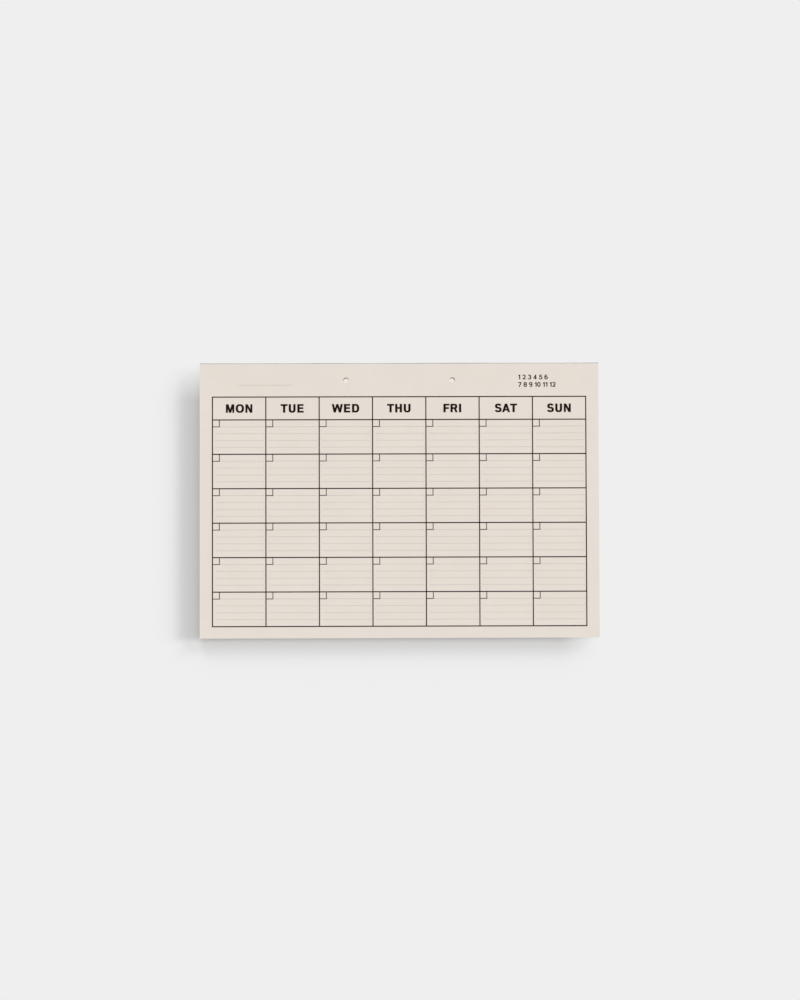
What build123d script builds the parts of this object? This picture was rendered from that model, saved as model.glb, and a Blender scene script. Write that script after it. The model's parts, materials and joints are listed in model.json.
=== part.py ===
from build123d import *

import os

# A month planner: a pad of printed sheets on a grey board, glued together along its long top
# edge and drilled with two holes, for a ring binder or for two nails in a wall. It lies face up
# on its board. X runs across the page, Y runs up the page to the glued edge, and Z is up.
# The origin is under the middle of the pad, on the surface that it lies on. Millimetres.

# The sheets and the board behind them, all cut to one size
SHEET_WIDTH = 300.0
SHEET_HEIGHT = 206.5
SHEET_THICKNESS = 0.125
SHEET_COUNT = 50
BOARD_THICKNESS = 1.25

# The two holes, drilled through sheets and board together
HOLE_DIAMETER = 4.0
HOLE_SPACING = 80.0
HOLE_FROM_TOP_EDGE = 12.6

# The glue: a film over the whole top edge, with a narrow lip that creeps onto the first sheet
GLUE_FILM = 0.4
GLUE_LIP_WIDTH = 0.35
GLUE_LIP_HEIGHT = 0.05

# The print on the first sheet: a row of weekday names over the weeks of a month. The margins
# run from the sheet's edges to the middle of the outermost lines.
DAYS = 7
WEEKS = 6
TOP_MARGIN = 25.2
SIDE_MARGIN = 9.6
BOTTOM_MARGIN = 8.9
NAME_ROW_HEIGHT = 17.2
GRID_LINE_WIDTH = 0.8
DATE_BOX_SIDE = 5.2
DATE_BOX_LINE_WIDTH = 0.55
INK_HEIGHT = 0.05

# Heights in the stack, from the board's underside up
pages_thickness = SHEET_COUNT * SHEET_THICKNESS
pad_thickness = BOARD_THICKNESS + pages_thickness

# The sheets' edges across the page. The origin is centred on the pad with its glue.
bottom_edge = -(SHEET_HEIGHT + GLUE_FILM) / 2
top_edge = bottom_edge + SHEET_HEIGHT
sheet_middle = (bottom_edge + top_edge) / 2

# The grid's outer lines and the sizes of its cells
grid_top = top_edge - TOP_MARGIN
grid_bottom = bottom_edge + BOTTOM_MARGIN
grid_left = -SHEET_WIDTH / 2 + SIDE_MARGIN
grid_width = SHEET_WIDTH - 2 * SIDE_MARGIN
grid_height = grid_top - grid_bottom
weeks_top = grid_top - NAME_ROW_HEIGHT
day_width = grid_width / DAYS
week_height = (weeks_top - grid_bottom) / WEEKS


def drilled_slab(underside, thickness):
    """A slab of the sheets' outline with the two holes through it, lying at a height."""
    outline = Pos(0, sheet_middle) * Rectangle(SHEET_WIDTH, SHEET_HEIGHT)
    for side in (-1, 1):
        hole_middle = Pos(side * HOLE_SPACING / 2, top_edge - HOLE_FROM_TOP_EDGE)
        outline -= hole_middle * Circle(HOLE_DIAMETER / 2)
    return Pos(0, 0, underside) * extrude(outline, thickness)


def glued_edge():
    """The film of glue: its section across the top edge, run along the pad's whole width."""
    outer_face = top_edge + GLUE_FILM
    lip_top = pad_thickness + GLUE_LIP_HEIGHT
    lip_end = top_edge - GLUE_LIP_WIDTH
    section = Plane.YZ * make_face(
        Polyline(
            (top_edge, 0),
            (outer_face, 0),
            (outer_face, lip_top),
            (lip_end, lip_top),
            (lip_end, pad_thickness),
            (top_edge, pad_thickness),
            close=True,
        )
    )
    film = extrude(section, SHEET_WIDTH / 2, both=True)
    outer_corner = film.edges().filter_by(Axis.X).group_by(Axis.Y)[-1].sort_by(Axis.Z)[-1]
    return fillet(outer_corner, GLUE_FILM)


def date_box(left, top):
    """The two printed lines that close a small square in a cell's top left corner."""
    right_line = Pos(left + DATE_BOX_SIDE, top - DATE_BOX_SIDE / 2)
    right_line *= Rectangle(DATE_BOX_LINE_WIDTH, DATE_BOX_SIDE + DATE_BOX_LINE_WIDTH)
    lower_line = Pos(left + DATE_BOX_SIDE / 2, top - DATE_BOX_SIDE)
    lower_line *= Rectangle(DATE_BOX_SIDE + DATE_BOX_LINE_WIDTH, DATE_BOX_LINE_WIDTH)
    return [right_line, lower_line]


def month_grid():
    """The printed lines, joined into one thin layer of ink that lies on the first sheet."""
    column_edges = [grid_left + day * day_width for day in range(DAYS + 1)]
    week_edges = [weeks_top - week * week_height for week in range(WEEKS + 1)]
    column_line = Rectangle(GRID_LINE_WIDTH, grid_height + GRID_LINE_WIDTH)
    row_line = Rectangle(grid_width + GRID_LINE_WIDTH, GRID_LINE_WIDTH)
    lines = [Pos(x, (grid_top + grid_bottom) / 2) * column_line for x in column_edges]
    lines += [Pos(0, y) * row_line for y in [grid_top] + week_edges]
    for cell_left in column_edges[:-1]:
        for cell_top in week_edges[:-1]:
            lines += date_box(cell_left, cell_top)
    return Pos(0, 0, pad_thickness) * extrude(Sketch() + lines, INK_HEIGHT)


parts = {
    "backing_board": drilled_slab(0, BOARD_THICKNESS),
    "page_block": drilled_slab(BOARD_THICKNESS, pages_thickness),
    "glue_binding": glued_edge(),
    "printed_grid": month_grid(),
}

os.makedirs("parts", exist_ok=True)
for name, shape in parts.items():
    export_step(shape, f"parts/{name}.step")
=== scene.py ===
import json

import bmesh
import bpy
import numpy as np
from mathutils.geometry import delaunay_2d_cdt
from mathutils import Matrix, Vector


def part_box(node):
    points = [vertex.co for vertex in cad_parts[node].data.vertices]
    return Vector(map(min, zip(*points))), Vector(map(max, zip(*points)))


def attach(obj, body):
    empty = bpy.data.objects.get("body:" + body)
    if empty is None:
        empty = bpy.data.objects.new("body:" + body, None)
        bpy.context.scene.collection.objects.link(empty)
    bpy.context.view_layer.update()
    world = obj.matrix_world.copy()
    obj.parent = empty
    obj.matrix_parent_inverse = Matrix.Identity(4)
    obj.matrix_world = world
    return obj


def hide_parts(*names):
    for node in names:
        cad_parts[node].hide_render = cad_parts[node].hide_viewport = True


# A month planner: a glued pad of printed sheets on a grey board, lying face up. X runs across the
# page, Y up the page to the glued edge, and Z up. Metres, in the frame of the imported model.
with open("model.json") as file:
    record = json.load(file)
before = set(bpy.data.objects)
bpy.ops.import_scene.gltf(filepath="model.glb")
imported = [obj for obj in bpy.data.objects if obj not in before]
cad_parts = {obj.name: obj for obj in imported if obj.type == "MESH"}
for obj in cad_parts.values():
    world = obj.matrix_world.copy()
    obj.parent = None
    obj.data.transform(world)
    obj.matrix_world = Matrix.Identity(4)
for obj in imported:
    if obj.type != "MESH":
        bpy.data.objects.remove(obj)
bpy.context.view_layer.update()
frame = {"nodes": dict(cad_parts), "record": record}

# The page block. Fifty sheets of uncoated recycled paper, 0.125 mm each, knocked up square,
# trimmed together in a guillotine and drilled through twice. The trim leaves each sheet a few
# hundredths of a millimetre in or out of line, so the cut faces show the leaves.
SHEET_THICKNESS = 0.000125
SHEET_SLIP = 0.00004
GROOVE_DEPTH = 0.00004
LEAF_CORNERS = (0.25, 0.75)
HOLE_PATCH = 0.0035
HOLE_PATCH_STEPS = 12
HOLE_PATCH_RINGS = 3
PAGE_STEP = 0.012
MERGE_DISTANCE = 1e-7
PAPER = (0.798, 0.730, 0.662)
PAPER_SHADE = (0.778, 0.711, 0.643)
PAPER_FLECK = (0.53, 0.47, 0.405)
FIBRE_SHARE = 0.10
SPECK_SHARE = 0.35
# Painted shade: the cut sides' colour is darker than the paper's face, for the grooves between the
# leaves and to hold down the low lamps' light.
PAPER_EDGE = (0.60, 0.55, 0.497)
PAPER_EDGE_SHADE = (0.44, 0.40, 0.355)
LEAF_SHARE = 0.5
RUB_SHARE = 0.25

pages_low, pages_high = (np.array(corner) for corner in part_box("page_block"))
bores = [mount for mount in frame["record"]["mounts"] if mount["kind"] == "bore"]
hole_xs = sorted(bore["pos_m"][0] for bore in bores)
hole_y = bores[0]["pos_m"][1]
hole_radius = bores[0]["dims"]["r_mm"] / 1000


def surface(points, wrap=False):
    """Quads over a grid of points, rows by columns: each point is joined to the next one across
    and the next one up, and wrap joins the last column to the first."""
    rows, columns = points.shape[:2]
    index = np.arange(rows * columns).reshape(rows, columns)
    if wrap:
        index = np.hstack([index, index[:, :1]])
    corners = (index[:-1, :-1], index[:-1, 1:], index[1:, 1:], index[1:, :-1])
    return points.reshape(-1, 3), np.stack([c.ravel() for c in corners], axis=1)


def placed(name, data):
    """A mesh, a light or a camera as an object of the scene, at the origin."""
    piece = bpy.data.objects.new(name, data)
    bpy.context.scene.collection.objects.link(piece)
    return piece


def closed_piece(name, patches, materials, patch_materials):
    """One closed mesh out of several patches whose edges meet point for point: the patches are
    laid end to end, their shared points are merged, and the faces are turned outwards. Each
    patch has the material that patch_materials numbers for it."""
    starts = np.cumsum([0] + [len(points) for points, _ in patches])
    points = np.vstack([points for points, _ in patches])
    faces = np.vstack([faces + start for (_, faces), start in zip(patches, starts)])
    mesh = bpy.data.meshes.new(name)
    mesh.from_pydata(points, [], faces.tolist())
    slots = np.repeat(patch_materials, [len(faces) for _, faces in patches])
    mesh.polygons.foreach_set("material_index", slots.astype(np.int32))
    for material in materials:
        mesh.materials.append(material)
    shell = bmesh.new()
    shell.from_mesh(mesh)
    bmesh.ops.remove_doubles(shell, verts=shell.verts, dist=MERGE_DISTANCE)
    bmesh.ops.recalc_face_normals(shell, faces=shell.faces)
    shell.to_mesh(mesh)
    shell.free()
    return placed(name, mesh)


class Finish:
    """A node material: a Principled shader, with helpers that add the nodes of its pattern."""

    def __init__(self, name, roughness, specular=0.5):
        self.material = bpy.data.materials.new(name)
        self.material.use_nodes = True
        self.nodes = self.material.node_tree.nodes
        self.links = self.material.node_tree.links
        self.shader = self.nodes["Principled BSDF"]
        self.shader.inputs["Roughness"].default_value = roughness
        self.shader.inputs["Specular IOR Level"].default_value = specular
        self.place = self.nodes.new("ShaderNodeTexCoord").outputs["Object"]

    def noise(self, size, detail=2.0, stretch=(1, 1, 1)):
        """Cloudy noise between 0 and 1 whose spots are about size metres across."""
        spread = self.nodes.new("ShaderNodeMapping")
        spread.inputs["Scale"].default_value = stretch
        self.links.new(self.place, spread.inputs["Vector"])
        cloud = self.nodes.new("ShaderNodeTexNoise")
        cloud.inputs["Scale"].default_value = 1 / size
        cloud.inputs["Detail"].default_value = detail
        self.links.new(spread.outputs["Vector"], cloud.inputs["Vector"])
        return cloud.outputs["Fac"]

    def ramp(self, value, low, high):
        """0 at low and 1 at high, with a straight slope between them, and level past them."""
        remap = self.nodes.new("ShaderNodeMapRange")
        remap.inputs["From Min"].default_value = low
        remap.inputs["From Max"].default_value = high
        self.links.new(value, remap.inputs["Value"])
        return remap.outputs["Result"]

    def math(self, operation, first, second=None):
        """One sum on one or two values, each an output of a node or a number."""
        node = self.nodes.new("ShaderNodeMath")
        node.operation = operation
        for socket, value in zip(node.inputs, (first, second)):
            if isinstance(value, (int, float)):
                socket.default_value = value
            elif value is not None:
                self.links.new(value, socket)
        return node.outputs["Value"]

    def blend(self, share, first, second):
        """The colour first where share is 0 and second where it is 1."""
        node = self.nodes.new("ShaderNodeMix")
        node.data_type = "RGBA"
        self.links.new(share, node.inputs["Factor"])
        for socket, colour in ((node.inputs[6], first), (node.inputs[7], second)):
            if isinstance(colour, tuple):
                socket.default_value = (*colour, 1)
            else:
                self.links.new(colour, socket)
        return node.outputs[2]

    def colour(self, output):
        """Makes an output of a node the colour of the surface."""
        self.links.new(output, self.shader.inputs["Base Color"])

    def bump(self, height, depth):
        """Raises the surface by depth metres where height is 1."""
        node = self.nodes.new("ShaderNodeBump")
        node.inputs["Distance"].default_value = depth
        self.links.new(height, node.inputs["Height"])
        self.links.new(node.outputs["Normal"], self.shader.inputs["Normal"])


def paper_face():
    """Uncoated recycled paper: a faint cloudy tone, short fibres, a few specks, a fine tooth."""
    finish = Finish("recycled_paper", roughness=0.92, specular=0.25)
    cloud = finish.ramp(finish.noise(size=0.02, detail=3), 0.3, 0.7)
    tone = finish.blend(cloud, PAPER, PAPER_SHADE)
    fibre_one = finish.noise(size=0.0011, stretch=(1, 0.22, 1))
    fibre_two = finish.noise(size=0.0010, stretch=(0.22, 1, 1))
    fibres = finish.ramp(finish.math("MAXIMUM", fibre_one, fibre_two), 0.66, 0.78)
    specks = finish.ramp(finish.noise(size=0.0009, detail=1), 0.73, 0.78)
    marks = finish.math(
        "MAXIMUM",
        finish.math("MULTIPLY", fibres, FIBRE_SHARE),
        finish.math("MULTIPLY", specks, SPECK_SHARE),
    )
    finish.colour(finish.blend(marks, tone, PAPER_FLECK))
    finish.bump(finish.noise(size=0.00035, detail=3), depth=0.00002)
    return finish.material


def paper_edge():
    """The cut edges of the sheets: each leaf a little lighter or darker than the next, and some
    stretches rubbed darker. The whole is darker than the paper's face: painted shade, for the
    grooves between the leaves and to hold down the low lamps' light on the cut sides."""
    finish = Finish("cut_paper_edges", roughness=0.95, specular=0.2)
    leaves = finish.noise(size=SHEET_THICKNESS * 1.6, detail=2, stretch=(0.02, 0.02, 1))
    rub = finish.ramp(finish.noise(size=0.006, detail=3), 0.35, 0.75)
    shade = finish.math(
        "MAXIMUM",
        finish.math("MULTIPLY", finish.ramp(leaves, 0.3, 0.7), LEAF_SHARE),
        finish.math("MULTIPLY", rub, RUB_SHARE),
    )
    finish.colour(finish.blend(shade, PAPER_EDGE, PAPER_EDGE_SHADE))
    finish.bump(finish.noise(size=0.0002, detail=2, stretch=(0.2, 0.2, 1)), depth=0.000008)
    return finish.material


def page_lines(low, high, patch_middles):
    """Where the page's grid lines lie along one axis: even steps, and the closer lines that
    cross each hole's square patch, so that the patch meets the grid point for point."""
    edges = [low]
    for middle in sorted(patch_middles):
        edges += [middle - HOLE_PATCH, middle + HOLE_PATCH]
    edges.append(high)
    lines = []
    for number, (start, end) in enumerate(zip(edges[:-1], edges[1:])):
        steps = HOLE_PATCH_STEPS if number % 2 else max(1, round((end - start) / PAGE_STEP))
        lines.append(np.linspace(start, end, steps, endpoint=False))
    return np.append(np.concatenate(lines), high)


page_xs = page_lines(pages_low[0], pages_high[0], hole_xs)
page_ys = page_lines(pages_low[1], pages_high[1], [hole_y])


def square_ring(middle_x):
    """The X and Y of the points round a hole's square patch, anticlockwise from its lower left
    corner: even steps along each side, without the corner at its end."""
    along = np.linspace(-HOLE_PATCH, HOLE_PATCH, HOLE_PATCH_STEPS, endpoint=False)
    side = np.full_like(along, HOLE_PATCH)
    ring_x = np.concatenate([along, side, -along, -side])
    ring_y = np.concatenate([-side, along, side, -along])
    return middle_x + ring_x, hole_y + ring_y


def page_face(height):
    """One face of the block as a flat grid that leaves out a square round each hole, and rings
    in each square that blend from its outline at 0 to the hole's circle at 1."""
    across, up = np.meshgrid(page_xs, page_ys)
    points, faces = surface(np.stack([across, up, np.full_like(up, height)], axis=2))
    middles = points[faces].mean(axis=1)
    kept = np.ones(len(faces), bool)
    for middle_x in hole_xs:
        offset = np.abs(middles[:, :2] - (middle_x, hole_y))
        kept &= offset.max(axis=1) > HOLE_PATCH
    patches = [(points, faces[kept])]
    for middle_x in hole_xs:
        ring_x, ring_y = square_ring(middle_x)
        outward = np.stack([ring_x - middle_x, ring_y - hole_y], axis=1)
        circle = outward / np.linalg.norm(outward, axis=1, keepdims=True) * hole_radius
        blend = np.linspace(0, 1, HOLE_PATCH_RINGS + 1)[:, None, None]
        rings = outward * (1 - blend) + circle * blend + (middle_x, hole_y)
        rings = np.concatenate([rings, np.full(rings.shape[:2] + (1,), height)], axis=2)
        patches.append(surface(rings, wrap=True))
    return patches


def leaf_profile():
    """The section of the stacked sheets, from the bottom up: for each sheet the groove under it
    and its two crisp corners. Gives each point's height, its sheet's number and its groove share."""
    count = round((pages_high[2] - pages_low[2]) / SHEET_THICKNESS)
    base = pages_low[2] + np.arange(count) * SHEET_THICKNESS
    heights = (base[:, None] + np.array([0.0, *LEAF_CORNERS]) * SHEET_THICKNESS).ravel()
    sheet = np.repeat(np.arange(count), 3)
    groove = np.tile([1.0, 0.0, 0.0], count)
    return np.append(heights, pages_high[2]), np.append(sheet, count - 1), np.append(groove, 0.0)


def block_sides(seed):
    """The cut faces: the outline carried up the stack's section. Each of a sheet's four edges is
    set in by a slip of its own, and by the groove's depth under the sheet."""
    random = np.random.default_rng(seed)
    heights, sheet, groove = leaf_profile()
    slip = random.uniform(0.0, SHEET_SLIP, (sheet.max() + 1, 4))
    slip[-1] = 0
    inset = slip[sheet] + groove[:, None] * GROOVE_DEPTH
    inset[0] = inset[-1] = 0
    x0, y0 = pages_low[:2]
    x1, y1 = pages_high[:2]
    xs = page_xs[:-1]
    ys = page_ys[:-1]
    around_x = np.concatenate([xs, np.full_like(ys, x1), page_xs[:0:-1], np.full_like(ys, x0)])
    around_y = np.concatenate([np.full_like(xs, y0), ys, np.full_like(xs, y1), page_ys[:0:-1]])
    left, right, lower, upper = inset.T[:, :, None]
    ring_x = np.clip(around_x[None, :], x0 + left, x1 - right)
    ring_y = np.clip(around_y[None, :], y0 + lower, y1 - upper)
    ring_z = np.broadcast_to(heights[:, None], ring_x.shape)
    return surface(np.stack([ring_x, ring_y, ring_z], axis=2), wrap=True)


def hole_wall(middle_x, seed):
    """A drilled hole's wall: the hole's circle carried up the same section, so that the leaves
    show inside it too."""
    random = np.random.default_rng(seed)
    heights, sheet, groove = leaf_profile()
    slip = random.uniform(0, SHEET_SLIP, sheet.max() + 1)
    radius = hole_radius + slip[sheet] + groove * GROOVE_DEPTH
    radius[0] = radius[-1] = hole_radius
    ring_x, ring_y = square_ring(middle_x)
    outward = np.stack([ring_x - middle_x, ring_y - hole_y], axis=1)
    outward /= np.linalg.norm(outward, axis=1, keepdims=True)
    wall = outward[None] * radius[:, None, None] + (middle_x, hole_y)
    wall_z = np.broadcast_to(heights[:, None, None], wall.shape[:2] + (1,))
    return surface(np.concatenate([wall, wall_z], axis=2), wrap=True)


page_patches = page_face(pages_high[2]) + page_face(pages_low[2])
face_count = len(page_patches)
page_patches += [block_sides(seed=1)] + [hole_wall(x, seed=2) for x in hole_xs]

# The faces and the holes' walls have the first material, and the cut sides have the second.
# The holes' walls, which lie in shade, keep the face's lighter paper as painted light, and the
# cut sides are painted darker against the low lamps.
page_block = closed_piece(
    "printed_sheets",
    page_patches,
    [paper_face(), paper_edge()],
    [0] * face_count + [1] + [0] * len(hole_xs),
)
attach(page_block, "root")
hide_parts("page_block")

# The backing board. A solid grey board of pulped waste paper, cut and drilled with the sheets.
# It is darker and rougher than they are, with coarse fibres and specks in its faces.
BOARD = (0.36, 0.335, 0.30)
BOARD_SHADE = (0.29, 0.27, 0.24)
BOARD_FLECK = (0.56, 0.53, 0.48)
BOARD_FLECK_SHARE = 0.3
BOARD_SPECK = (0.10, 0.095, 0.09)
BOARD_SPECK_SHARE = 0.6


def grey_board():
    """Grey board: mottled at the scale of its pulp, with pale fibres, dark specks and a nap."""
    finish = Finish("grey_board", roughness=0.96, specular=0.2)
    mottle = finish.ramp(finish.noise(size=0.0035, detail=4), 0.35, 0.65)
    tone = finish.blend(mottle, BOARD, BOARD_SHADE)
    pale = finish.ramp(finish.noise(size=0.0009, detail=2, stretch=(1, 0.3, 1)), 0.64, 0.72)
    tone = finish.blend(finish.math("MULTIPLY", pale, BOARD_FLECK_SHARE), tone, BOARD_FLECK)
    dark = finish.ramp(finish.noise(size=0.0007, detail=1), 0.70, 0.76)
    tone = finish.blend(finish.math("MULTIPLY", dark, BOARD_SPECK_SHARE), tone, BOARD_SPECK)
    finish.colour(tone)
    finish.bump(finish.noise(size=0.0006, detail=4), depth=0.00005)
    return finish.material


def refinish(node, material):
    """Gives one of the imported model's own nodes a single new material."""
    materials = frame["nodes"][node].data.materials
    materials.clear()
    materials.append(material)


refinish("backing_board", grey_board())

# The glue. Padding glue brushed over the whole top edge while the pad was clamped, dried to a
# thin greyish film. It follows the leaves behind it and creeps a little onto the first sheet.
GLUE = (0.56, 0.55, 0.53)
GLUE_SHADE = (0.40, 0.39, 0.37)
GLUE_THIN_PLACES = 0.25
GLUE_THIN_WAVE = 0.017
GLUE_RIDGES = 0.06
LIP_NARROW_PLACES = 0.3
LIP_WAVE = 0.011
LIP_FALL = 0.6
GLUE_STEP = 0.002
GLUE_RISE_POINTS = 40
GLUE_CORNER_STEPS = 6
GLUE_LIP_STEPS = 3

glue_low, glue_high = (np.array(corner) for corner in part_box("glue_binding"))
glue_film = glue_high[1] - pages_high[1]


def wander(places, wavelength, seed):
    """A smooth random wave between 0 and 1: random knots a wavelength apart, joined by curves
    that leave and reach each knot level."""
    random = np.random.default_rng(seed)
    step = (places - places.min()) / wavelength
    knots = random.uniform(0, 1, int(step.max()) + 2)
    knot = step.astype(int)
    share = step - knot
    share = share * share * (3 - 2 * share)
    return knots[knot] * (1 - share) + knots[knot + 1] * share


def glue_edge():
    """The film as two skins over one grid, across the pad and round its edge. The inner one lies
    on the board and the sheets. The outer one is the film's thickness away from it up the edge,
    less a slow wave along the pad and fine random ridges. It turns by a quarter circle at the
    corner and sinks over the lip with the square of the way across. The lip's width wavers too."""
    xs = np.linspace(glue_low[0], glue_high[0], round((glue_high[0] - glue_low[0]) / GLUE_STEP) + 1)
    edge, top = pages_high[1:]
    narrow = 1 - LIP_NARROW_PLACES * (1 - wander(xs, LIP_WAVE, seed=3))
    thin = 1 - GLUE_THIN_PLACES * wander(xs, GLUE_THIN_WAVE, seed=4)
    rise = np.linspace(0, glue_high[2] - glue_film, GLUE_RISE_POINTS)
    ridges = GLUE_RIDGES * wander(rise, SHEET_THICKNESS, seed=5)
    turn = np.linspace(0, np.pi / 2, GLUE_CORNER_STEPS + 1)[1:]
    lip_share = np.linspace(0, 1, GLUE_LIP_STEPS + 1)[1:]
    lip_y = edge - (edge - glue_low[1]) * narrow[:, None] * lip_share
    lip_z = top + (glue_high[2] - top) * (1 - LIP_FALL * lip_share ** 2)
    rise_y = edge + glue_film * (thin[:, None] - ridges)
    turn_y = edge + glue_film * thin[:, None] * np.cos(turn)
    turn_z = glue_high[2] - glue_film * (1 - np.sin(turn))
    outer_y = np.hstack([rise_y, turn_y, lip_y])
    outer_z = np.broadcast_to(np.concatenate([rise, turn_z, lip_z]), outer_y.shape)
    inner_y = np.minimum(outer_y, edge)
    inner_z = np.minimum(outer_z, top)
    across = np.broadcast_to(xs[:, None], outer_y.shape)
    outer = np.stack([across, outer_y, outer_z], axis=2)
    inner = np.stack([across, inner_y, inner_z], axis=2)
    return [
        surface(outer),
        surface(inner),
        surface(np.stack([inner[0], outer[0]])),
        surface(np.stack([inner[-1], outer[-1]])),
        surface(np.stack([inner[:, 0], outer[:, 0]])),
        surface(np.stack([inner[:, -1], outer[:, -1]])),
    ]


def dried_glue():
    """Dried glue: dull grey, a little clearer in some places, with brush marks along the edge."""
    finish = Finish("dried_glue", roughness=0.85, specular=0.15)
    patches = finish.ramp(finish.noise(size=0.09, detail=4, stretch=(1, 1, 0.3)), 0.4, 0.6)
    finish.colour(finish.blend(patches, GLUE, GLUE_SHADE))
    finish.bump(finish.noise(size=0.0008, detail=3, stretch=(0.15, 1, 1)), depth=0.00004)
    return finish.material


glue_patches = glue_edge()
glue_binding = closed_piece("padding_glue", glue_patches, [dried_glue()], [0] * len(glue_patches))
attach(glue_binding, "root")
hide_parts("glue_binding")

# The ruled grid. Black offset ink on the first sheet, which the paper drinks in a little, so its
# tone is slightly uneven. The lines of the month and of the date boxes are one printing.
INK = (0.009, 0.005, 0.003)
INK_WORN = (0.022, 0.014, 0.009)


def black_ink():
    """Black ink on rough paper: nearly black, and a touch paler where the paper shows."""
    finish = Finish("black_ink", roughness=0.85, specular=0.06)
    uneven = finish.ramp(finish.noise(size=0.0006, detail=3), 0.4, 0.75)
    finish.colour(finish.blend(uneven, INK, INK_WORN))
    finish.bump(finish.noise(size=0.00035, detail=2), depth=0.00001)
    return finish.material


ink = black_ink()
refinish("printed_grid", ink)
grid_low, grid_high = (np.array(corner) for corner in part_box("printed_grid"))

# The writing lines. Rows of fine dots in every day's cell, and one for the month's name at the
# top left of the sheet, in the same black ink. The first row starts beside the date box.
DAYS = 7
WEEKS = 6
LINE_WIDTH = 0.0008
NAME_ROW_HEIGHT = 0.0172
DATE_BOX_SIDE = 0.0052
ROWS_A_CELL = 5
DOT_PITCH = 0.00161
DOT_RADIUS = 0.000205
DOT_SIDES = 8
DOT_GAP_LEFT = 0.0016
DOT_GAP_RIGHT = 0.0019
DOT_GAP_DATE_BOX = 0.0008
MONTH_LINE_LEFT = 0.0284
MONTH_LINE_LENGTH = 0.0407
MONTH_LINE_DROP = 0.0163

cell_left = grid_low[0] + LINE_WIDTH / 2
cell_top = grid_high[1] - LINE_WIDTH / 2 - NAME_ROW_HEIGHT
day_width = (grid_high[0] - grid_low[0] - LINE_WIDTH) / DAYS
week_height = (cell_top - grid_low[1] - LINE_WIDTH / 2) / WEEKS


def dot_row(left, right):
    """The X places of the dots between two ends: whole pitches counted back from the right."""
    return right - DOT_PITCH * np.arange(int((right - left) / DOT_PITCH) + 1)


def dot_places():
    """The middle of every dot: each cell's rows, repeated over the days and the weeks, and then
    the month's line."""
    right = day_width - DOT_GAP_RIGHT
    places = []
    for row in range(1, ROWS_A_CELL):
        left = DATE_BOX_SIDE + DOT_GAP_DATE_BOX if row == 1 else DOT_GAP_LEFT
        xs = dot_row(left, right)
        places.append(np.stack([xs, np.full_like(xs, -row * week_height / ROWS_A_CELL)], axis=1))
    cell = np.vstack(places)
    column_lefts = cell_left + day_width * np.arange(DAYS)
    week_tops = cell_top - week_height * np.arange(WEEKS)
    corners = np.stack(np.meshgrid(column_lefts, week_tops), axis=2).reshape(-1, 1, 2)
    month_left = pages_low[0] + MONTH_LINE_LEFT
    month_xs = dot_row(month_left, month_left + MONTH_LINE_LENGTH)
    month_ys = np.full_like(month_xs, pages_high[1] - MONTH_LINE_DROP)
    return np.vstack([(corners + cell).reshape(-1, 2), np.stack([month_xs, month_ys], axis=1)])


def dots(places):
    """Every dot as a low prism: a ring of points at the sheet and one at the ink's surface."""
    turn = np.arange(DOT_SIDES) * 2 * np.pi / DOT_SIDES
    circle = DOT_RADIUS * np.stack([np.cos(turn), np.sin(turn)], axis=1)
    flat = places[:, None, None, :] + circle[None, None]
    flat = np.broadcast_to(flat, (len(places), 2, DOT_SIDES, 2))
    heights = np.array([grid_low[2], grid_high[2]])[None, :, None, None]
    points = np.concatenate([flat, np.broadcast_to(heights, flat.shape[:3] + (1,))], axis=3)
    side = np.arange(DOT_SIDES)
    after = (side + 1) % DOT_SIDES
    walls = np.stack([side, after, after + DOT_SIDES, side + DOT_SIDES], axis=1)
    starts = np.arange(len(places)) * 2 * DOT_SIDES
    faces = (starts[:, None, None] + walls[None]).reshape(-1, 4).tolist()
    faces += (starts[:, None] + side[::-1][None]).tolist()
    faces += (starts[:, None] + DOT_SIDES + side[None]).tolist()
    mesh = bpy.data.meshes.new("writing_lines")
    mesh.from_pydata(points.reshape(-1, 3), [], faces)
    mesh.materials.append(ink)
    return placed("writing_lines", mesh)


writing_lines = dots(dot_places())
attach(writing_lines, "root")

# The words. The names of the weekdays in bold capitals, each in the middle of its column's head,
# and the numbers of the months in two short rows at the top right, all printed in black ink.
# A letter is a few strokes on a field one unit tall, with 0 at its foot and at its left side.
STEM = 0.27
BAR = 0.21
FIGURE_STEM = 0.21
FIGURE_BAR = 0.17
ROUNDNESS = 2.4
BOW_STEP_DEGREES = 9
FOOT = -0.015
HEAD = 1.015
STROKE_TOLERANCE = 1e-9
STRAIGHT_GAP = 0.10
ROUND_GAP = 0.06
OPEN_GAP = 0.025
WORD_GAP = 0.34
WEEKDAYS = ("MON", "TUE", "WED", "THU", "FRI", "SAT", "SUN")
WEEKDAY_HEIGHT = 0.0064
MONTH_ROWS = ("1 2 3 4 5 6", "7 8 9 10 11 12")
MONTH_HEIGHT = 0.0035
MONTH_ROW_PITCH = 0.0056
MONTH_LEFT = 0.2394
MONTH_DROP = 0.0088


def bar(left, right, low, high):
    """A stroke with four square corners."""
    return np.array([(left, low), (right, low), (right, high), (left, high)])


def slant(foot, foot_height, head, head_height, width=STEM):
    """A leaning stroke with level ends, width wide, from the middle of its foot to that of its
    head."""
    half = width / 2
    return np.array([(foot - half, foot_height), (foot + half, foot_height),
                     (head + half, head_height), (head - half, head_height)])


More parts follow.
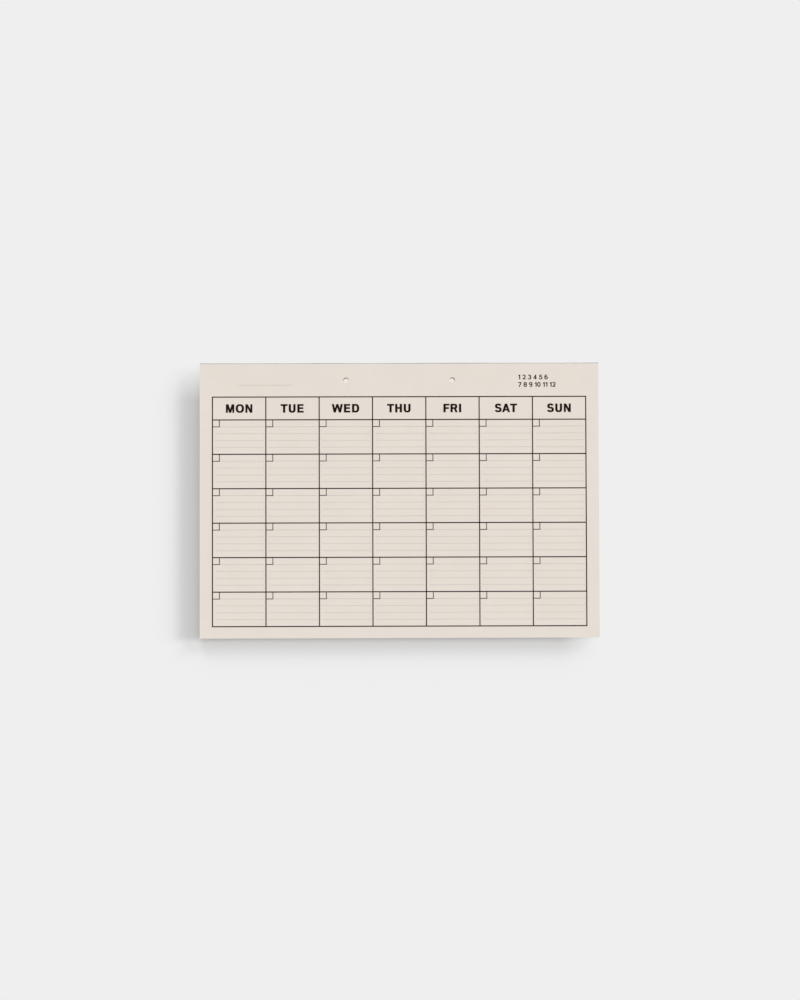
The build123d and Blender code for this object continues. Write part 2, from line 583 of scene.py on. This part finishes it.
def bow(left, right, low, high, start, end, weight=(STEM, BAR)):
    """A round stroke, from one angle to another: between an outer superellipse that fills the box
    and an inner one that lies a stem within it at the sides and a bar at top and bottom, which
    are the two numbers of weight."""
    angle = np.radians(np.linspace(start, end, 1 + round(abs(end - start) / BOW_STEP_DEGREES)))
    reach = np.stack([np.cos(angle), np.sin(angle)], axis=1)
    reach = np.sign(reach) * np.abs(reach) ** (2 / ROUNDNESS)
    outer = np.array([right - left, high - low]) / 2
    inner = outer - weight
    middle = ((left + right) / 2, (low + high) / 2)
    return np.vstack([middle + reach * outer, middle + reach[::-1] * inner])


def ring(left, right, low, high, weight=(STEM, BAR)):
    """A closed round stroke, as two halves."""
    return [bow(left, right, low, high, 0, 180, weight), bow(left, right, low, high, 180, 360, weight)]


LIGHT = (FIGURE_STEM, FIGURE_BAR)
TWO = bow(0.01, 0.71, 0.37, HEAD, -35, 170, LIGHT)
SIX = ring(0, 0.72, FOOT, 0.65, LIGHT) + [bow(0, 0.72, FOOT, HEAD, 50, 200, LIGHT)]
LETTERS = {
    "A": [slant(0.135, 0, 0.48, 1), slant(0.825, 0, 0.48, 1), bar(0.2, 0.76, 0.19, 0.37)],
    "D": [bar(0, STEM, 0, 1), bar(0, 0.44, 1 - BAR, 1), bar(0, 0.44, 0, BAR),
          bow(0, 0.85, 0, 1, -90, 90)],
    "E": [bar(0, STEM, 0, 1), bar(0, 0.75, 0, BAR), bar(0, 0.70, 0.42, 0.42 + BAR),
          bar(0, 0.74, 1 - BAR, 1)],
    "F": [bar(0, STEM, 0, 1), bar(0, 0.65, 0.39, 0.39 + BAR), bar(0, 0.71, 1 - BAR, 1)],
    "H": [bar(0, STEM, 0, 1), bar(0.81 - STEM, 0.81, 0, 1), bar(0, 0.81, 0.42, 0.42 + BAR)],
    "I": [bar(0, STEM, 0, 1)],
    "M": [slant(0.115, 0, 0.115, 1, 0.23), slant(0.875, 0, 0.875, 1, 0.23),
          slant(0.495, 0, 0.18, 1, 0.255), slant(0.495, 0, 0.81, 1, 0.255)],
    "N": [bar(0, 0.24, 0, 1), bar(0.58, 0.82, 0, 1), slant(0.68, 0, 0.14, 1)],
    "O": ring(0, 0.98, FOOT, HEAD),
    "R": [bar(0, STEM, 0, 1), bar(0, 0.5, 1 - BAR, 1), bar(0, 0.5, 0.39, 0.39 + BAR),
          bow(0.16, 0.81, 0.39, 1, -90, 90), slant(0.705, 0, 0.53, 0.48)],
    "S": [bow(0.03, 0.78, 0.41, HEAD, 10, 270), bow(0, 0.81, FOOT, 0.41 + BAR, -170, 90)],
    "T": [bar(0, 0.82, 1 - BAR, 1), slant(0.41, 0, 0.41, 1)],
    "U": [bar(0, STEM, 0.36, 1), bar(0.81 - STEM, 0.81, 0.36, 1),
          bow(0, 0.81, FOOT, 0.72 - FOOT, 180, 360)],
    "W": [slant(0.345, 0, 0.13, 1, 0.26), slant(0.345, 0, 0.65, 1, 0.245),
          slant(0.955, 0, 0.65, 1, 0.245), slant(0.955, 0, 1.17, 1, 0.26)],
    "0": ring(0, 0.72, FOOT, HEAD, LIGHT),
    "1": [bar(0.24, 0.24 + FIGURE_STEM, 0, 1), slant(0.11, 0.68, 0.34, 1, FIGURE_STEM)],
    "2": [TWO, np.array([(0.03, 0), (0.30, 0), TWO[0], TWO[-1]]), bar(0.03, 0.72, 0, FIGURE_BAR)],
    "3": [bow(0.03, 0.68, 0.44, HEAD, -90, 168, LIGHT),
          bow(0, 0.72, FOOT, 0.44 + FIGURE_BAR, -170, 90, LIGHT)],
    "4": [bar(0.40, 0.40 + FIGURE_STEM, 0, 1), bar(0, 0.76, 0.19, 0.19 + FIGURE_BAR),
          slant(0.095, 0.19, 0.515, 1, 0.19)],
    "5": [bar(0.10, 0.67, 1 - FIGURE_BAR, 1), slant(0.15, 0.45, 0.20, 1, 0.20),
          bow(0, 0.72, FOOT, 0.66, -170, 135, LIGHT)],
    "6": SIX,
    "7": [bar(0, 0.71, 1 - FIGURE_BAR, 1), slant(0.24, 0, 0.595, 0.83, 0.23)],
    "8": ring(0.03, 0.69, 0.44, HEAD, LIGHT) + ring(0, 0.72, FOOT, 0.44 + FIGURE_BAR, LIGHT),
    "9": [(0.72, 1) - stroke for stroke in SIX],
}
SIDE_GAPS = {
    "A": -OPEN_GAP, "T": OPEN_GAP, "W": OPEN_GAP,
    "F": ROUND_GAP, "O": ROUND_GAP, "R": ROUND_GAP, "S": ROUND_GAP,
}


def lettering(text):
    """The strokes of a line of text and its width. Each letter has its own gap on both sides."""
    strokes = []
    pen = 0.0
    for letter in text:
        if letter == " ":
            pen += WORD_GAP
            continue
        usual_gap = ROUND_GAP if letter.isdigit() else STRAIGHT_GAP
        gap = SIDE_GAPS.get(letter, usual_gap)
        pen += gap
        strokes += [stroke + (pen, 0) for stroke in LETTERS[letter]]
        pen += max(stroke[:, 0].max() for stroke in LETTERS[letter]) + gap
    return strokes, pen


def printed(name, strokes):
    """Strokes as one layer of ink. Their overlaps are merged by one triangulation over all of
    them, of which the triangles inside any stroke are kept. That layer is laid twice, at the
    paper and at the ink's surface, and joined by a wall along each edge that only one triangle
    has. The 0 asks for every triangle, with the strokes that each one lies in."""
    ends = np.cumsum([0] + [len(stroke) for stroke in strokes])
    outlines = [list(range(start, end)) for start, end in zip(ends[:-1], ends[1:])]
    flat, _, triangles, _, _, inside = delaunay_2d_cdt(
        np.vstack(strokes).tolist(), [], outlines, 0, STROKE_TOLERANCE)
    flat = np.array([tuple(point) for point in flat])
    triangles = np.array([t for t, sources in zip(triangles, inside) if sources])
    edges = np.vstack([triangles[:, [0, 1]], triangles[:, [1, 2]], triangles[:, [2, 0]]])
    _, first, uses = np.unique(np.sort(edges, axis=1), axis=0, return_index=True, return_counts=True)
    rim = edges[first[uses == 1]]
    points = np.vstack([np.c_[flat, np.full(len(flat), z)] for z in (grid_low[2], grid_high[2])])
    walls = np.hstack([rim, rim[:, ::-1] + len(flat)])
    faces = triangles[:, ::-1].tolist() + (triangles + len(flat)).tolist() + walls.tolist()
    mesh = bpy.data.meshes.new(name)
    mesh.from_pydata(points, [], faces)
    mesh.materials.append(ink)
    piece = placed(name, mesh)
    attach(piece, "root")


name_foot = cell_top + (NAME_ROW_HEIGHT - WEEKDAY_HEIGHT) / 2
for day, word in enumerate(WEEKDAYS):
    strokes, width = lettering(word)
    left = cell_left + (day + 0.5) * day_width - width * WEEKDAY_HEIGHT / 2
    strokes = [(left, name_foot) + stroke * WEEKDAY_HEIGHT for stroke in strokes]
    printed("weekday_" + word.lower(), strokes)

months_left = pages_low[0] + MONTH_LEFT
months_foot = pages_high[1] - MONTH_DROP - MONTH_HEIGHT
for row, numbers in enumerate(MONTH_ROWS):
    strokes, _ = lettering(numbers)
    corner = (months_left, months_foot - row * MONTH_ROW_PITCH)
    printed(f"month_numbers_{row + 1}", [corner + stroke * MONTH_HEIGHT for stroke in strokes])

# The floor, a plain pale surface under soft light. Most of the light comes from all round, and
# three broad low lamps, from the top to the right, lay a soft shadow at the left and below. For
# the camera, the floor is evened out past the pad's top and right edges, with painted light
# fading over the ends of that shadow near them. Light is painted on it down the holes, where
# the pad's shade falls.
FLOOR = (0.863, 0.863, 0.863)
# Painted light: the warm plain colour laid on the floor down the holes, where the pad's shade falls.
PAINTED_HOLE_LIGHT = (0.88, 0.81, 0.74)
FLOOR_SIZE = 12.0
# Painted light: over this fade within the top and right edges, the plain colour lightens the ends of
# the pad's shadow near its top left and bottom right corners.
FLOOR_FADE = 0.028
HOLE_GLOW = 0.0014
HOLE_SHADE = 0.0038
HOLE_SHADE_SHIFT = 0.0003
SKY_SHARE = 0.66

# Each lamp's direction from +X, its height and its spread, in degrees, and its share of the light
LAMPS = (
    (100.0, 22.5, 19.0, 0.057),
    (38.0, 21.0, 17.0, 0.113),
    (4.0, 19.6, 15.5, 0.170),
)


def floor_material():
    """A matt pale surface that, seen by the camera, turns to its plain colour by a share: 1 past
    the pad's top and right edges, falling to 0 over the fade within them, which paints light over
    the ends of the pad's shadow there, and 1 in the middle of each hole, falling to 0 with the
    distance from a point a little left of its axis. In the holes the plain colour is a warmer
    painted light where the pad's shade falls, and the real shade shows only at the rim, most on
    its right side."""
    finish = Finish("floor", roughness=1.0, specular=0.0)
    finish.shader.inputs["Base Color"].default_value = (*FLOOR, 1)
    place = finish.nodes.new("ShaderNodeSeparateXYZ")
    finish.links.new(finish.place, place.inputs["Vector"])
    x = place.outputs["X"]
    y = place.outputs["Y"]
    past_right = finish.math("SUBTRACT", x, float(pages_high[0]))
    past_top = finish.math("SUBTRACT", y, float(glue_high[1]))
    past_edges = finish.math("MAXIMUM", past_right, past_top)
    shifted = finish.math("ABSOLUTE", finish.math("ADD", x, HOLE_SHADE_SHIFT))
    beside = finish.math("POWER", finish.math("SUBTRACT", shifted, hole_xs[-1]), 2.0)
    above = finish.math("POWER", finish.math("SUBTRACT", y, hole_y), 2.0)
    distance = finish.math("SQRT", finish.math("ADD", beside, above))
    # Painted light in the holes, where the pad's shade falls: 1 in the middle of each, 0 past
    # HOLE_SHADE.
    painted_hole_light = finish.ramp(distance, HOLE_SHADE, HOLE_GLOW)
    # Painted light over the shadow's ends near the top left and bottom right corners, and in the
    # holes.
    share = finish.math("MAXIMUM", finish.ramp(past_edges, -FLOOR_FADE, 0.0), painted_hole_light)
    seen = finish.nodes.new("ShaderNodeLightPath").outputs["Is Camera Ray"]
    plain = finish.nodes.new("ShaderNodeEmission")
    finish.links.new(finish.blend(painted_hole_light, FLOOR, PAINTED_HOLE_LIGHT), plain.inputs["Color"])
    mix = finish.nodes.new("ShaderNodeMixShader")
    finish.links.new(finish.math("MULTIPLY", seen, share), mix.inputs["Fac"])
    finish.links.new(finish.shader.outputs["BSDF"], mix.inputs[1])
    finish.links.new(plain.outputs["Emission"], mix.inputs[2])
    finish.links.new(mix.outputs["Shader"], finish.nodes["Material Output"].inputs["Surface"])
    return finish.material


floor_mesh = bpy.data.meshes.new("floor")
floor_corners = FLOOR_SIZE / 2 * np.array([(-1, -1, 0), (1, -1, 0), (1, 1, 0), (-1, 1, 0)])
floor_mesh.from_pydata(floor_corners, [], [(0, 1, 2, 3)])
floor_mesh.materials.append(floor_material())
floor = placed("floor", floor_mesh)

world = bpy.data.worlds.new("studio")
bpy.context.scene.world = world
world.use_nodes = True
nodes = world.node_tree.nodes
links = world.node_tree.links
sky = nodes["Background"]
sky.inputs["Color"].default_value = (1, 1, 1, 1)
sky.inputs["Strength"].default_value = SKY_SHARE
backdrop = nodes.new("ShaderNodeBackground")
backdrop.inputs["Color"].default_value = (*FLOOR, 1)
ray = nodes.new("ShaderNodeLightPath")
mix = nodes.new("ShaderNodeMixShader")
links.new(ray.outputs["Is Camera Ray"], mix.inputs["Fac"])
links.new(sky.outputs["Background"], mix.inputs[1])
links.new(backdrop.outputs["Background"], mix.inputs[2])
links.new(mix.outputs["Shader"], nodes["World Output"].inputs["Surface"])

for number, (azimuth, elevation, spread, share) in enumerate(LAMPS, start=1):
    light = bpy.data.lights.new(f"lamp_{number}", "SUN")
    light.angle = np.radians(spread)
    light.energy = share * np.pi / np.sin(np.radians(elevation))
    lamp = placed(f"lamp_{number}", light)
    lamp.rotation_euler = (0, np.radians(90 - elevation), np.radians(azimuth))

# The camera looks down on the pad from 1.5 m, with the small tilt and turn of the photograph.
# Its lens gives the photograph's scale at the height of the printed face.
IMAGE_WIDTH = 800
METRES_A_PIXEL = 0.0007513
CAMERA_DISTANCE = 1.5
CAMERA_TILT_X = 1.66
CAMERA_TILT_Y = -0.35
CAMERA_ROLL = -0.15
CAMERA_AIM = (0.00042, 0.00011)

camera_data = bpy.data.cameras.new("camera")
camera_data.sensor_fit = "HORIZONTAL"
camera_data.lens = camera_data.sensor_width * CAMERA_DISTANCE / (IMAGE_WIDTH * METRES_A_PIXEL)
camera = placed("camera", camera_data)


def rotation(axis, degrees):
    """The 3 by 3 matrix that turns about X (0), Y (1) or Z (2)."""
    cosine = np.cos(np.radians(degrees))
    sine = np.sin(np.radians(degrees))
    one, two = [(1, 2), (2, 0), (0, 1)][axis]
    matrix = np.eye(3)
    matrix[one, one] = matrix[two, two] = cosine
    matrix[one, two] = -sine
    matrix[two, one] = sine
    return matrix


camera_turn = rotation(0, CAMERA_TILT_X) @ rotation(1, CAMERA_TILT_Y) @ rotation(2, CAMERA_ROLL)
camera_place = np.eye(4)
camera_place[:3, :3] = camera_turn
camera_place[:3, 3] = np.array([*CAMERA_AIM, pages_high[2]]) + camera_turn[:, 2] * CAMERA_DISTANCE
camera.matrix_world = camera_place.T.tolist()
bpy.context.scene.camera = camera
bpy.context.scene.view_settings.view_transform = "Standard"
